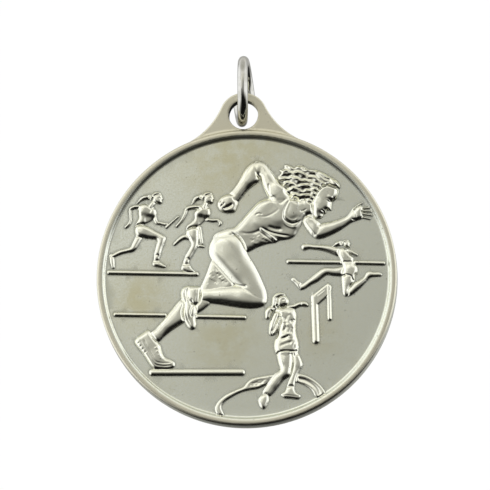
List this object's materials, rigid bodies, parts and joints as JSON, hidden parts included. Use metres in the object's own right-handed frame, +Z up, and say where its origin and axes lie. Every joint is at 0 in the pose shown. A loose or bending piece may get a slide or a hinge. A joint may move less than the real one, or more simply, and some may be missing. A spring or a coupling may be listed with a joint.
{
  "type": "struck sports medal",
  "caption": "Round struck medal with a raised rim, athletics figures in relief on its front and an eyelet that hangs on an open jump ring.",
  "frame": {"origin": "centre of the jump ring's opening, where a ribbon passes", "axes": "+Z up, away from the disc; +X to the right as seen from the front, along the ribbon's way through the ring; the struck front faces -Y"},
  "size_m": [0.05, 0.0119, 0.0628],
  "materials": {
    "struck_silver": "satin nickel plate, fine grain",
    "raised_silver": "burnished nickel plate on the raised scene",
    "ring_wire": "bright nickel plate"
  },
  "bodies": {
    "ring": {"jump_ring": "ring_wire"},
    "medal": {"medal_blank": "struck_silver", "sprinter": "raised_silver", "rear_relay_runner": "raised_silver", "front_relay_runner": "raised_silver", "hurdler": "raised_silver", "hurdle": "raised_silver", "shot_putter": "raised_silver", "throwing_circle": "raised_silver", "ground_lines": "raised_silver"}
  },
  "joints": [
    {"name": "medal_swing", "type": "hinge", "parent": "ring", "child": "medal", "pos_m": [0, 0, 0], "axis": [1, 0, 0], "range_deg": [-90, 90]}
  ]
}
